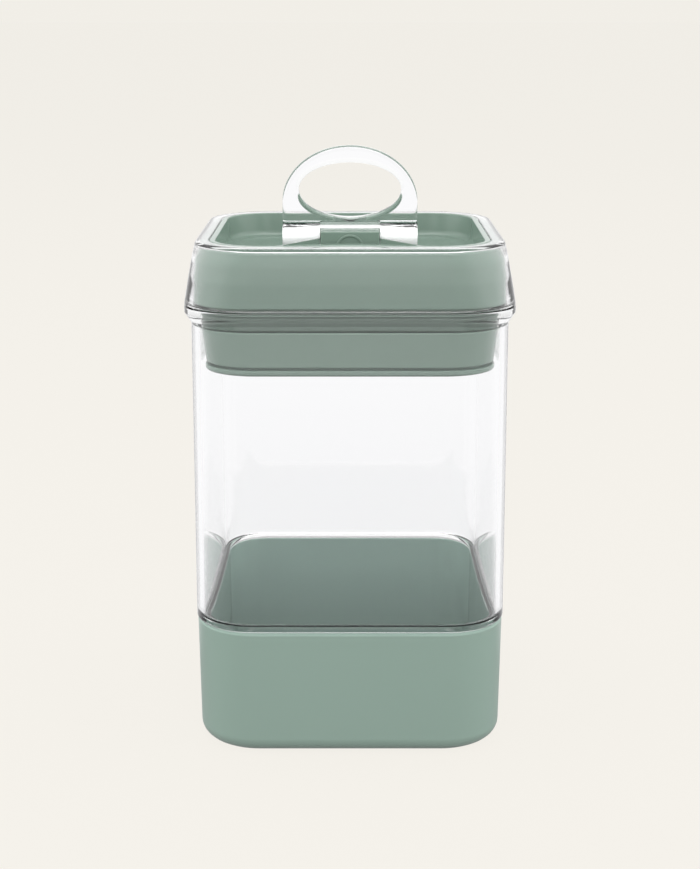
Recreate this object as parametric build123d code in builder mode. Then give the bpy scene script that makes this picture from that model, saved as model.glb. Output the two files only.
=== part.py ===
from build123d import *
import math
import os

# Square food canister that is sealed by flipping its clear lid handle.
# Z is up, the floor is Z 0, the middle of the canister is X 0 and Y 0, and the front looks toward -Y.
os.makedirs("parts", exist_ok=True)

# Driving sizes, in millimetres.
# Plan shape that the boot, body and lid share: half the width of the lid, and its corner.
lid_half = 54.0
plan_corner = 20.0

# Boot: the coloured cup around the bottom of the canister.
boot_height = 43.1
boot_bottom_setback = 2.7
boot_rim_setback = 2.1
boot_wall = 2.2
boot_floor = 2.4
boot_edge_round = 7.6
boot_rim_round = 0.7

# Body: the clear jar, which steps in to nest inside the boot.
nest_gap = 0.3
shoulder_gap = 0.5
shoulder_thickness = 1.7
shoulder_round = 0.6
nested_wall = 1.9
body_floor = 2.3
body_low_setback = 1.8
body_high_setback = 2.05
body_wall = 2.5
flange_start = 145.0
flange_chamfer_height = 3.8
flange_height = 6.0
flange_edge_round = 0.5

# Lid shell: the clear outer bezel.
lid_seat_gap = 0.3
shell_height = 20.0
shell_waist_rise = 8.25
shell_waist_lean = 1.3
shell_shoulder_rise = 14.7
shell_shoulder_lean = 2.4
shell_top_lean = 3.5
shell_top_corner_growth = 2.5
shell_bottom_wall = 2.5
shell_waist_wall = 1.3
shell_shoulder_wall = 0.9
shell_top_wall = 1.2
shell_top_thickness = 1.4
shell_land = 4.3
shell_top_round = 1.1

# Lid frame: the coloured inner part, with the recess that the handle folds into.
frame_gap = 0.3
frame_wall = 1.8
pan_wall = 1.8
recess_draft = 0.6
recess_depth = 8.3
recess_round = 2.0
deck_thickness = 2.2
rim_round = 0.4

# Underplate: closes the frame from below and carries the gasket.
mouth_gap = 0.45
underplate_depth = 1.8
underplate_height = 2.3
underplate_wall = 2.0
underplate_skin = 2.0
gasket_seat_height = 2.0
gasket_seat_wall = 1.6

# Gasket: the silicone ring that bulges against the body wall.
gasket_gap = 0.55
gasket_width = 4.6
gasket_height = 4.8
gasket_seat_gap = 0.3
gasket_bulge = 0.5

# Seal plate and its cover.
plate_gap = 0.7
plate_taper = 1.2
plate_height = 12.0
plate_wall = 1.8
plate_skin = 2.2
plate_edge_round = 0.8
cover_lip = 0.25
cover_thickness = 2.0
cover_groove = 0.8
cover_rim_height = 4.5
cover_rim_wall = 1.6
cover_round = 0.9

# Lift mechanism.
pin_above_deck = 5.0
pin_radius = 1.25
pin_shank_length = 6.0
pin_head_radius = 3.5
pin_end_gap = 0.4
cam_low = 4.7
cam_high = 6.5
cam_front = 5.2
running_gap = 0.05
slide_gap = 0.3
stem_radius = 3.2
stem_foot_radius = 7.0
stem_foot_height = 1.5
stem_above_block_floor = 3.0
guide_wall = 2.4
guide_flange = 2.8
guide_flange_height = 1.5
screw_radius = 1.5
screw_length = 13.0
screw_head_radius = 2.8
screw_head_height = 2.2
screw_slot_width = 0.8
screw_slot_depth = 1.1
washer_radius = 5.0
washer_thickness = 0.8

# Pivot block: the head of the lifting stem, between the two handle cheeks.
block_half = 10.0
block_front = 10.0
block_top_above_pin = 3.3
block_arch_radius = 4.95
block_arch_width = 0.9
block_arch_depth = 0.5
block_arch_drop = 0.9
block_dish = 0.18

# Apron: the low domed cover in front of the handle.
apron_half = 28.0
apron_front = 15.5
apron_back = 7.6
apron_height = 4.6
apron_dome_radius = 225.0
apron_corner = 7.0
apron_edge_round = 1.5
ridge_depth = 1.7
ridge_low = 3.6
ridge_high = 6.0
ridge_half = 22.6

# Handle: the clear ring that flips.
handle_half = 23.15
handle_top = 31.6
handle_thickness = 4.5
handle_arch_rise = 19.0
handle_back_flat = 2.0
handle_back_shoulder = 6.2
handle_foot_round = 3.0
hole_half_width = 17.5
hole_half_height = 9.2
hole_centre_above_pin = 16.6
handle_edge_round = 0.6
hole_edge_round = 0.8

# Width of the band in which an edge is picked by its height.
pick_band = 0.05

# Half widths and corners worked out from the sizes above.
boot_bottom_half = lid_half - boot_bottom_setback
boot_rim_half = lid_half - boot_rim_setback
body_low_half = lid_half - body_low_setback
body_high_half = lid_half - body_high_setback
mouth_half = body_high_half - body_wall
shell_waist_half = lid_half - shell_waist_lean
shell_shoulder_half = lid_half - shell_shoulder_lean
shell_top_half = lid_half - shell_top_lean
shell_top_corner = plan_corner + shell_top_corner_growth
shell_opening_half = shell_top_half - shell_land
underplate_half = mouth_half - mouth_gap
gasket_half = mouth_half - gasket_gap
gasket_seat_half = gasket_half - gasket_width
plate_top_half = mouth_half - plate_gap
plate_bottom_half = plate_top_half - plate_taper
plate_corner = plan_corner - body_wall - plate_gap
cover_half = plate_bottom_half + cover_lip

# Heights worked out from the sizes above.
body_bottom = boot_floor + nest_gap
shoulder_bottom = boot_height + shoulder_gap
step_height = shoulder_bottom + shoulder_thickness
flange_edge_height = flange_start + flange_chamfer_height
body_top = flange_start + flange_height
lid_bottom = body_top + lid_seat_gap
lid_top = lid_bottom + shell_height
deck_height = lid_top - recess_depth
pin_height = deck_height + pin_above_deck
underplate_bottom = lid_bottom - underplate_depth
gasket_bottom = underplate_bottom - gasket_height
plate_top = gasket_bottom - gasket_seat_gap
plate_bottom = plate_top - plate_height
block_bottom = deck_height + slide_gap
block_top = pin_height + block_top_above_pin
cam_rise = (cam_high - cam_low) / (math.pi / 2)


def near(height):
    """The band of heights in which edges lying at one height are picked."""
    return height - pick_band, height + pick_band


# Coloured boot.
with BuildPart() as base_boot:
    for height, half in ((0, boot_bottom_half), (boot_height, boot_rim_half)):
        with BuildSketch(Plane.XY.offset(height)):
            RectangleRounded(2 * half, 2 * half, plan_corner)
    loft()
    fillet(base_boot.edges().filter_by_position(Axis.Z, *near(0)), boot_edge_round)
    for height, half in ((boot_floor, boot_bottom_half - boot_wall), (boot_height, boot_rim_half - boot_wall)):
        with BuildSketch(Plane.XY.offset(height)):
            RectangleRounded(2 * half, 2 * half, plan_corner - boot_wall)
    loft(mode=Mode.SUBTRACT)
    fillet(base_boot.edges().filter_by_position(Axis.Z, *near(boot_floor)), boot_edge_round - boot_wall)
    fillet(base_boot.edges().filter_by_position(Axis.Z, *near(boot_height)), boot_rim_round)
base_boot.part.label = "base_boot"
export_step(base_boot.part, "parts/base_boot.step")

# Clear body, nested in the boot below its shoulder.
nested_inset = boot_wall + nest_gap
inner_inset = nested_inset + nested_wall
inner_bottom = body_bottom + body_floor
with BuildPart() as clear_body:
    for height, half in ((body_bottom, boot_bottom_half), (shoulder_bottom, boot_rim_half)):
        with BuildSketch(Plane.XY.offset(height)):
            RectangleRounded(2 * (half - nested_inset), 2 * (half - nested_inset), plan_corner - nested_inset)
    loft()
    nested_round = boot_edge_round - nested_inset
    fillet(clear_body.edges().filter_by_position(Axis.Z, *near(body_bottom)), nested_round)
    for height, half in ((shoulder_bottom, body_low_half), (flange_start, body_high_half)):
        with BuildSketch(Plane.XY.offset(height)):
            RectangleRounded(2 * half, 2 * half, plan_corner)
    loft()
    for height, half in ((flange_start, body_high_half), (flange_edge_height, lid_half)):
        with BuildSketch(Plane.XY.offset(height)):
            RectangleRounded(2 * half, 2 * half, plan_corner)
    loft()
    with BuildSketch(Plane.XY.offset(flange_edge_height)):
        RectangleRounded(2 * lid_half, 2 * lid_half, plan_corner)
    extrude(amount=body_top - flange_edge_height)
    for height, half in ((inner_bottom, boot_bottom_half), (step_height, boot_rim_half)):
        with BuildSketch(Plane.XY.offset(height)):
            RectangleRounded(2 * (half - inner_inset), 2 * (half - inner_inset), plan_corner - inner_inset)
    loft(mode=Mode.SUBTRACT)
    fillet(clear_body.edges().filter_by_position(Axis.Z, *near(inner_bottom)), nested_round - nested_wall)
    for height, half in ((step_height, body_low_half), (body_top, body_high_half)):
        with BuildSketch(Plane.XY.offset(height)):
            RectangleRounded(2 * (half - body_wall), 2 * (half - body_wall), plan_corner - body_wall)
    loft(mode=Mode.SUBTRACT)
    shoulder_faces = clear_body.faces().filter_by(Plane.XY).filter_by_position(Axis.Z, *near(shoulder_bottom))
    fillet(shoulder_faces[0].outer_wire().edges(), shoulder_round)
    fillet(clear_body.edges().filter_by_position(Axis.Z, *near(step_height)), shoulder_round)
    fillet(clear_body.edges().filter_by_position(Axis.Z, *near(body_top)), flange_edge_round)
clear_body.part.label = "clear_body"
export_step(clear_body.part, "parts/clear_body.step")

# Clear lid shell: a leaning skirt with a narrow top ring.
shell_sections = (
    (lid_bottom, lid_half, plan_corner, shell_bottom_wall),
    (lid_bottom + shell_waist_rise, shell_waist_half, plan_corner, shell_waist_wall),
    (lid_bottom + shell_shoulder_rise, shell_shoulder_half, (plan_corner + shell_top_corner) / 2, shell_shoulder_wall),
    (lid_top, shell_top_half, shell_top_corner, shell_top_wall),
)
shell_lower = shell_sections[:3]
opening_corner = shell_top_corner - shell_land
with BuildPart() as lid_shell:
    for height, half, corner, wall in shell_sections:
        with BuildSketch(Plane.XY.offset(height)):
            RectangleRounded(2 * half, 2 * half, corner)
    loft()
    fillet(lid_shell.edges().filter_by_position(Axis.Z, *near(lid_top)), shell_top_round)
    for height, half, corner, wall in shell_lower:
        with BuildSketch(Plane.XY.offset(height)):
            RectangleRounded(2 * (half - wall), 2 * (half - wall), corner - wall)
    with BuildSketch(Plane.XY.offset(lid_top - shell_top_thickness)):
        inside_half = shell_top_half - shell_top_wall
        RectangleRounded(2 * inside_half, 2 * inside_half, shell_top_corner - shell_top_wall)
    loft(mode=Mode.SUBTRACT)
    with BuildSketch(Plane.XY.offset(lid_top - shell_top_thickness)):
        RectangleRounded(2 * shell_opening_half, 2 * shell_opening_half, opening_corner)
    extrude(amount=shell_top_thickness, mode=Mode.SUBTRACT)
lid_shell.part.label = "lid_shell"
export_step(lid_shell.part, "parts/lid_shell.step")

# Coloured lid frame: skirt inside the shell, rim inside its opening, and the recessed deck.
guide_radius = stem_radius + running_gap + guide_wall
frame_top = lid_top - shell_top_thickness - frame_gap
pan_half = shell_opening_half - frame_gap
pan_corner = opening_corner - frame_gap
recess_half = pan_half - pan_wall
recess_floor_half = recess_half - recess_draft
frame_insets = (frame_gap, frame_gap + frame_wall)
with BuildPart() as lid_frame:
    for inset, mode in zip(frame_insets, (Mode.ADD, Mode.SUBTRACT)):
        for height, half, corner, wall in shell_lower:
            with BuildSketch(Plane.XY.offset(height)):
                side = 2 * (half - wall - inset)
                RectangleRounded(side, side, corner - wall - inset)
        with BuildSketch(Plane.XY.offset(frame_top + frame_gap - inset)):
            side = 2 * (shell_top_half - shell_top_wall - inset)
            RectangleRounded(side, side, shell_top_corner - shell_top_wall - inset)
        loft(mode=mode)
    with BuildSketch(Plane.XY.offset(deck_height - deck_thickness)):
        RectangleRounded(2 * pan_half, 2 * pan_half, pan_corner)
    extrude(amount=recess_depth + deck_thickness)
    recess_corner = pan_corner - pan_wall
    for height, half in ((deck_height, recess_floor_half), (lid_top, recess_half)):
        with BuildSketch(Plane.XY.offset(height)):
            RectangleRounded(2 * half, 2 * half, recess_corner)
    loft(mode=Mode.SUBTRACT)
    fillet(lid_frame.edges().filter_by_position(Axis.Z, *near(deck_height)), recess_round)
    fillet(lid_frame.edges().filter_by_position(Axis.Z, *near(lid_top)), rim_round)
    with BuildSketch(Plane.XY.offset(deck_height)):
        Circle(guide_radius + running_gap)
    extrude(amount=-deck_thickness, mode=Mode.SUBTRACT)
lid_frame.part.label = "lid_frame"
export_step(lid_frame.part, "parts/lid_frame.step")

# Underplate that closes the frame, with the ribbed seat for the gasket.
underplate_corner = plan_corner - body_wall - mouth_gap
with BuildPart() as lid_underplate:
    with BuildSketch(Plane.XY.offset(underplate_bottom)):
        RectangleRounded(2 * underplate_half, 2 * underplate_half, underplate_corner)
    extrude(amount=underplate_depth + underplate_height)
    with BuildSketch(Plane.XY.offset(underplate_bottom + underplate_skin)):
        RectangleRounded(
            2 * (underplate_half - underplate_wall),
            2 * (underplate_half - underplate_wall),
            underplate_corner - underplate_wall,
        )
    extrude(amount=underplate_depth + underplate_height - underplate_skin, mode=Mode.SUBTRACT)
    with BuildSketch(Plane.XY.offset(underplate_bottom)):
        seat_corner = underplate_corner - (underplate_half - gasket_seat_half)
        RectangleRounded(2 * gasket_seat_half, 2 * gasket_seat_half, seat_corner)
        offset(amount=-gasket_seat_wall, mode=Mode.SUBTRACT)
    extrude(amount=-gasket_seat_height)
    with BuildSketch(Plane.XY.offset(underplate_bottom)):
        Circle(guide_radius + running_gap)
    extrude(amount=underplate_skin, mode=Mode.SUBTRACT)
lid_underplate.part.label = "lid_underplate"
export_step(lid_underplate.part, "parts/lid_underplate.step")

# Guide bush that keeps the stem upright between the underplate and the deck.
flange_radius = guide_radius + guide_flange
with BuildPart() as stem_guide:
    with BuildSketch(Plane.XY.offset(underplate_bottom)):
        Circle(guide_radius)
    extrude(amount=deck_height - underplate_bottom)
    with BuildSketch(Plane.XY.offset(underplate_bottom + underplate_skin)):
        Circle(flange_radius)
    extrude(amount=guide_flange_height)
    Cylinder(
        stem_radius + running_gap,
        deck_height,
        align=(Align.CENTER, Align.CENTER, Align.MIN),
        mode=Mode.SUBTRACT,
    )
stem_guide.part.label = "stem_guide"
export_step(stem_guide.part, "parts/stem_guide.step")

# Silicone gasket with a bulged outer face.
gasket_corner = underplate_corner - (underplate_half - gasket_half)
gasket_middle = gasket_bottom + gasket_height / 2
with BuildPart() as seal_gasket:
    for height, back in ((gasket_bottom, gasket_bulge), (gasket_middle, 0), (underplate_bottom, gasket_bulge)):
        with BuildSketch(Plane.XY.offset(height)):
            RectangleRounded(2 * (gasket_half - back), 2 * (gasket_half - back), gasket_corner - back)
    loft()
    with BuildSketch(Plane.XY.offset(gasket_bottom)):
        hole_half = gasket_seat_half + running_gap
        RectangleRounded(2 * hole_half, 2 * hole_half, gasket_corner - (gasket_half - hole_half))
    extrude(amount=gasket_height, mode=Mode.SUBTRACT)
seal_gasket.part.label = "seal_gasket"
export_step(seal_gasket.part, "parts/seal_gasket.step")

# Seal plate: a tapered inverted tray that is pulled up against the gasket.
with BuildPart() as seal_plate:
    for height, half in ((plate_bottom, plate_bottom_half), (plate_top, plate_top_half)):
        with BuildSketch(Plane.XY.offset(height)):
            RectangleRounded(2 * half, 2 * half, plate_corner)
    loft()
    plate_inside = ((plate_bottom, plate_bottom_half), (plate_top - plate_skin, plate_top_half))
    for height, half in plate_inside:
        with BuildSketch(Plane.XY.offset(height)):
            RectangleRounded(2 * (half - plate_wall), 2 * (half - plate_wall), plate_corner - plate_wall)
    loft(mode=Mode.SUBTRACT)
    with BuildSketch(Plane.XY.offset(plate_top)):
        Circle(screw_radius + running_gap)
    extrude(amount=-plate_skin, mode=Mode.SUBTRACT)
    fillet(
        seal_plate.edges().filter_by_position(Axis.Z, *near(plate_top)).sort_by(SortBy.LENGTH)[1:],
        plate_edge_round,
    )
seal_plate.part.label = "seal_plate"
export_step(seal_plate.part, "parts/seal_plate.step")

# Cover that closes the seal plate from below.
cover_top = plate_bottom - cover_groove
with BuildPart() as seal_plate_cover:
    with BuildSketch(Plane.XY.offset(cover_top - cover_thickness)):
        RectangleRounded(2 * cover_half, 2 * cover_half, plate_corner)
    extrude(amount=cover_thickness)
    fillet(
        seal_plate_cover.edges().filter_by_position(Axis.Z, *near(cover_top - cover_thickness)),
        cover_round,
    )
    with BuildSketch(Plane.XY.offset(cover_top)):
        rim_half = plate_bottom_half - plate_wall - running_gap
        RectangleRounded(2 * rim_half, 2 * rim_half, plate_corner - plate_wall)
        offset(amount=-cover_rim_wall, mode=Mode.SUBTRACT)
    extrude(amount=cover_rim_height)
seal_plate_cover.part.label = "seal_plate_cover"
export_step(seal_plate_cover.part, "parts/seal_plate_cover.step")

# Lifting stem with a foot on the seal plate.
stem_top = block_bottom + stem_above_block_floor
with BuildPart() as draw_stem:
    with BuildSketch(Plane.XY.offset(plate_top)):
        Circle(stem_foot_radius)
    extrude(amount=stem_foot_height)
    with BuildSketch(Plane.XY.offset(plate_top)):
        Circle(stem_radius)
    extrude(amount=stem_top - plate_top)
    with BuildSketch(Plane.XY.offset(plate_top)):
        Circle(screw_radius + running_gap)
    extrude(amount=screw_length - plate_skin - washer_thickness + slide_gap, mode=Mode.SUBTRACT)
draw_stem.part.label = "draw_stem"
export_step(draw_stem.part, "parts/draw_stem.step")

# Washer and screw that hold the seal plate on the stem.
washer_bottom = plate_top - plate_skin - washer_thickness
with BuildPart() as stem_washer:
    with BuildSketch(Plane.XY.offset(washer_bottom)):
        Circle(washer_radius)
        Circle(screw_radius + running_gap, mode=Mode.SUBTRACT)
    extrude(amount=washer_thickness)
stem_washer.part.label = "stem_washer"
export_step(stem_washer.part, "parts/stem_washer.step")

with BuildPart() as stem_screw:
    with BuildSketch(Plane.XY.offset(washer_bottom - screw_head_height)):
        Circle(screw_head_radius)
    extrude(amount=screw_head_height)
    with BuildSketch(Plane.XY.offset(washer_bottom)):
        Circle(screw_radius)
    extrude(amount=screw_length)
    with BuildSketch(Plane.XY.offset(washer_bottom - screw_head_height)):
        Rectangle(2 * screw_head_radius, screw_slot_width)
    extrude(amount=screw_slot_depth, mode=Mode.SUBTRACT)
stem_screw.part.label = "stem_screw"
export_step(stem_screw.part, "parts/stem_screw.step")

# Pivot block: side profile with a knuckle round the pin, then the arch moulded on its front.
with BuildPart() as pivot_block:
    with BuildSketch(Plane.YZ):
        with BuildLine():
            Polyline(
                (0, block_top),
                (-block_front, block_top),
                (-block_front, block_bottom),
                (block_top_above_pin, block_bottom),
                (block_top_above_pin, pin_height),
            )
            RadiusArc((block_top_above_pin, pin_height), (0, block_top), -block_top_above_pin)
        make_face()
    extrude(amount=block_half, both=True)
    block_dish_radius = block_half * block_half / (2 * block_dish)
    with BuildSketch(Plane.XZ):
        with Locations((0, block_top + block_dish_radius - block_dish)):
            Circle(block_dish_radius)
    extrude(amount=block_front, mode=Mode.SUBTRACT)
    arch_centre = block_top - block_arch_drop - block_arch_radius
    arch_leg = arch_centre - block_bottom
    with BuildSketch(Plane.XZ.offset(block_front)):
        for radius, mode in (
            (block_arch_radius, Mode.ADD),
            (block_arch_radius - block_arch_width, Mode.SUBTRACT),
        ):
            with Locations((0, arch_centre)):
                Circle(radius, mode=mode)
            with Locations((0, block_bottom)):
                Rectangle(2 * radius, arch_leg, align=(Align.CENTER, Align.MIN), mode=mode)
        with Locations((0, block_bottom)):
            Rectangle(
                2 * block_arch_radius,
                2 * block_arch_radius,
                align=(Align.CENTER, Align.MAX),
                mode=Mode.SUBTRACT,
            )
    extrude(amount=block_arch_depth)
    with BuildSketch(Plane.YZ):
        with Locations((0, pin_height)):
            Circle(pin_radius)
    extrude(amount=block_half, both=True, mode=Mode.SUBTRACT)
    with BuildSketch(Plane.XY.offset(block_bottom)):
        Circle(stem_radius)
    extrude(amount=stem_above_block_floor, mode=Mode.SUBTRACT)
pivot_block.part.label = "pivot_block"
export_step(pivot_block.part, "parts/pivot_block.step")

# Two shoulder pins: a thick head that turns in the handle cheek and a thin shank pressed into the block.
head_start = block_half + slide_gap
head_length = handle_half - pin_end_gap - head_start
with BuildPart() as hinge_pin_right:
    with BuildSketch(Plane.YZ.offset(head_start)):
        with Locations((0, pin_height)):
            Circle(pin_head_radius)
    extrude(amount=head_length)
    with BuildSketch(Plane.YZ.offset(head_start)):
        with Locations((0, pin_height)):
            Circle(pin_radius)
    extrude(amount=-pin_shank_length)
hinge_pin_right.part.label = "hinge_pin_right"
export_step(hinge_pin_right.part, "parts/hinge_pin_right.step")

with BuildPart() as hinge_pin_left:
    with BuildSketch(Plane.YZ.offset(-head_start)):
        with Locations((0, pin_height)):
            Circle(pin_head_radius)
    extrude(amount=-head_length)
    with BuildSketch(Plane.YZ.offset(-head_start)):
        with Locations((0, pin_height)):
            Circle(pin_radius)
    extrude(amount=pin_shank_length)
hinge_pin_left.part.label = "hinge_pin_left"
export_step(hinge_pin_left.part, "parts/hinge_pin_left.step")

# Domed apron in front of the handle, with a ridge that rises to the block.
with BuildPart() as front_apron:
    with BuildSketch(Plane.XY.offset(deck_height)):
        with Locations((0, -apron_back)):
            Rectangle(2 * apron_half, apron_front - apron_back, align=(Align.CENTER, Align.MAX))
    extrude(amount=2 * apron_height)
    fillet(
        front_apron.edges().filter_by(Axis.Z).group_by(Axis.Y)[0],
        apron_corner,
    )
    with Locations((0, -apron_back, deck_height + apron_height - apron_dome_radius)):
        Sphere(apron_dome_radius, mode=Mode.INTERSECT)
    apron_top = front_apron.faces().sort_by(Axis.Z)[-1]
    fillet(apron_top.edges().group_by(Axis.Y)[0], apron_edge_round)
    with BuildSketch(Plane.XZ.offset(apron_back)):
        with BuildLine():
            Polyline(
                (-ridge_half, deck_height),
                (-ridge_half, deck_height + ridge_low),
                (-block_half, deck_height + ridge_high),
                (block_half, deck_height + ridge_high),
                (ridge_half, deck_height + ridge_low),
                (ridge_half, deck_height),
                close=True,
            )
        make_face()
    extrude(amount=ridge_depth)
    slot_half = block_half + slide_gap
    with BuildSketch(Plane.XY.offset(deck_height)):
        with Locations((0, -apron_back)):
            Rectangle(
                2 * slot_half,
                block_front + block_arch_depth + slide_gap - apron_back,
                align=(Align.CENTER, Align.MAX),
            )
    extrude(amount=2 * apron_height, mode=Mode.SUBTRACT)
front_apron.part.label = "front_apron"
export_step(front_apron.part, "parts/front_apron.step")


def cam_point(angle):
    """Point of the cam edge that faces down when the handle has turned by this angle."""
    reach = cam_low + cam_rise * angle
    across = reach * math.sin(angle) + cam_rise * math.cos(angle)
    up = -reach * math.cos(angle) + cam_rise * math.sin(angle)
    return across, pin_height + up


# Clear flip handle: the side profile carries the cam, the front profile the arch and the finger hole.
cam_steps = 8
cam_edge = [cam_point(math.pi / 2 * step / cam_steps) for step in range(cam_steps + 1)]
handle_top_height = pin_height + handle_top
back_flat_height = pin_height + handle_back_flat
shoulder_height = pin_height + handle_back_shoulder
ring_half = handle_thickness / 2
arch_start = handle_top_height - handle_arch_rise
bar_top = (-ring_half, pin_height + math.sqrt(cam_front * cam_front - ring_half * ring_half))
bar_bottom = (-math.sqrt(cam_front * cam_front - cam_low * cam_low), pin_height - cam_low)
with BuildPart() as flip_handle:
    with BuildSketch(Plane.YZ):
        with BuildLine():
            Spline(*cam_edge, tangents=((1, 0), (0, 1)))
            Line(cam_edge[-1], (cam_high, back_flat_height))
            Spline((cam_high, back_flat_height), (ring_half, shoulder_height), tangents=((0, 1), (0, 1)))
            Polyline(
                (ring_half, shoulder_height),
                (ring_half, handle_top_height),
                (-ring_half, handle_top_height),
                bar_top,
            )
            RadiusArc(bar_top, bar_bottom, -cam_front)
            Line(bar_bottom, cam_edge[0])
        make_face()
    extrude(amount=handle_half, both=True)
    with BuildSketch(Plane.XZ):
        with BuildLine():
            base_line = pin_height - cam_low
            Line((-handle_half + handle_foot_round, base_line), (handle_half - handle_foot_round, base_line))
            RadiusArc(
                (handle_half - handle_foot_round, base_line),
                (handle_half, base_line + handle_foot_round),
                -handle_foot_round,
            )
            Line((handle_half, base_line + handle_foot_round), (handle_half, arch_start))
            EllipticalCenterArc((0, arch_start), handle_half, handle_arch_rise, start_angle=0, arc_size=180)
            Line((-handle_half, arch_start), (-handle_half, base_line + handle_foot_round))
            RadiusArc(
                (-handle_half, base_line + handle_foot_round),
                (-handle_half + handle_foot_round, base_line),
                -handle_foot_round,
            )
        make_face()
        with Locations((0, pin_height + hole_centre_above_pin)):
            Ellipse(hole_half_width, hole_half_height, mode=Mode.SUBTRACT)
    extrude(amount=handle_top, both=True, mode=Mode.INTERSECT)
    with BuildSketch(Plane.XZ):
        with Locations((0, pin_height - cam_low)):
            Rectangle(
                2 * (block_half + slide_gap),
                cam_low + block_top_above_pin + slide_gap,
                align=(Align.CENTER, Align.MIN),
            )
    extrude(amount=handle_top, both=True, mode=Mode.SUBTRACT)
    with BuildSketch(Plane.YZ):
        with Locations((0, pin_height)):
            Circle(pin_head_radius + running_gap)
    extrude(amount=handle_half, both=True, mode=Mode.SUBTRACT)
flip_handle.part.label = "flip_handle"
export_step(flip_handle.part, "parts/flip_handle.step")
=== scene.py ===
import math

import bmesh
import bpy
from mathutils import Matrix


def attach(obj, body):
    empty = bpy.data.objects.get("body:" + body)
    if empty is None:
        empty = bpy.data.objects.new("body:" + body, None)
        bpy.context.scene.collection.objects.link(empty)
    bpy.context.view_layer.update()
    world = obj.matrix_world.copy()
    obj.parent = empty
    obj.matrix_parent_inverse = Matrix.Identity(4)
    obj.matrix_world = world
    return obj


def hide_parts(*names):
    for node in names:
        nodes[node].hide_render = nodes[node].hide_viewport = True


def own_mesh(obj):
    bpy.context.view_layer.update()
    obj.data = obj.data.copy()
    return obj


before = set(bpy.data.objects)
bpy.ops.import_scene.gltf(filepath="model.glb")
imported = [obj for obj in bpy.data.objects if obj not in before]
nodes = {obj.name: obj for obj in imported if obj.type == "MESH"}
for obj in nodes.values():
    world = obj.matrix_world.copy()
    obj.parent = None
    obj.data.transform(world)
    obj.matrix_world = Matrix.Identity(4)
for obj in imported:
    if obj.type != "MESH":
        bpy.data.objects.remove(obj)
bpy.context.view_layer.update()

MM = 0.001
QUARTER_TURN = math.pi / 2


# Materials

# Colour sockets of a Mix node: its two colours and its result.
MIX_A = 6
MIX_B = 7
MIX_RESULT = 2

# Moulded plastic: width of its flow marks in millimetres, the part of their noise that shows,
# and how far they move the roughness either way.
FLOW_MM = 45
FLOW_LOW = 0.3
FLOW_HIGH = 0.7
FLOW_SMOOTHER = 0.03
FLOW_ROUGHER = 0.04
GRAIN_STRENGTH = 0.5
MOULDED_IOR = 1.53

# Turned steel: length in metres of one wave of a wave texture at scale 1, how uneven the lathe's
# rings are, how far they move the roughness either way, and their depth in millimetres.
UNIT_WAVE = 0.314
RING_UNEVENNESS = 0.3
RING_SMOOTHER = 0.06
RING_ROUGHER = 0.08
RING_STRENGTH = 0.4
RING_DEPTH_MM = 0.004

# Clear plastic: width of the haze in millimetres, the part of its noise that shows, and the tint
# that each wall gives to the light that passes.
HAZE_MM = 18
HAZE_LOW = 0.4
HAZE_HIGH = 0.75
CLEAR_IOR = 1.5
CLEAR_PASSING = "#FDFDFE"


def linear(code):
    """Linear colour of an sRGB hex code."""
    parts = [int(code[i:i + 2], 16) / 255 for i in (1, 3, 5)]
    return [p / 12.92 if p <= 0.04045 else ((p + 0.055) / 1.055) ** 2.4 for p in parts] + [1.0]


def new_material(name):
    """An empty node material and its tree."""
    material = bpy.data.materials.new(name)
    material.use_nodes = True
    material.node_tree.nodes.clear()
    return material.node_tree, material


def add(tree, kind, links=(), **settings):
    """Adds a node; settings are socket values or attributes, links are (from socket, to socket)."""
    node = tree.nodes.new(kind)
    for key, value in settings.items():
        label = key.replace("_", " ")
        socket = next((s for s in node.inputs if s.name.lower() == label), None)
        if socket:
            socket.default_value = value
        else:
            setattr(node, key, value)
    for source, target in links:
        tree.links.new(source, node.inputs[target])
    return node


def moulded_plastic(name, colour, deep, roughness, grain_mm, grain_depth_mm):
    """Injection-moulded plastic: even colour with a faint flow variation and a fine mould grain."""
    tree, material = new_material(name)
    place = add(tree, "ShaderNodeTexCoord").outputs["Object"]
    flow = add(tree, "ShaderNodeTexNoise", [(place, "Vector")],
               scale=1 / (FLOW_MM * MM), detail=2.0).outputs["Fac"]
    tone = add(tree, "ShaderNodeMix", [(flow, "Factor")], data_type="RGBA")
    tone.inputs[MIX_A].default_value = linear(colour)
    tone.inputs[MIX_B].default_value = linear(deep)
    grain = add(tree, "ShaderNodeTexNoise", [(place, "Vector")],
                scale=1 / (grain_mm * MM), detail=3.0).outputs["Fac"]
    bump = add(tree, "ShaderNodeBump", [(grain, "Height")],
               strength=GRAIN_STRENGTH, distance=grain_depth_mm * MM)
    smear = add(tree, "ShaderNodeMapRange", [(flow, "Value")],
                from_min=FLOW_LOW, from_max=FLOW_HIGH,
                to_min=roughness - FLOW_SMOOTHER, to_max=roughness + FLOW_ROUGHER)
    shader = add(tree, "ShaderNodeBsdfPrincipled",
                 [(tone.outputs[MIX_RESULT], "Base Color"), (smear.outputs["Result"], "Roughness"),
                  (bump.outputs["Normal"], "Normal")], ior=MOULDED_IOR)
    add(tree, "ShaderNodeOutputMaterial", [(shader.outputs["BSDF"], "Surface")])
    return material


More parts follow.
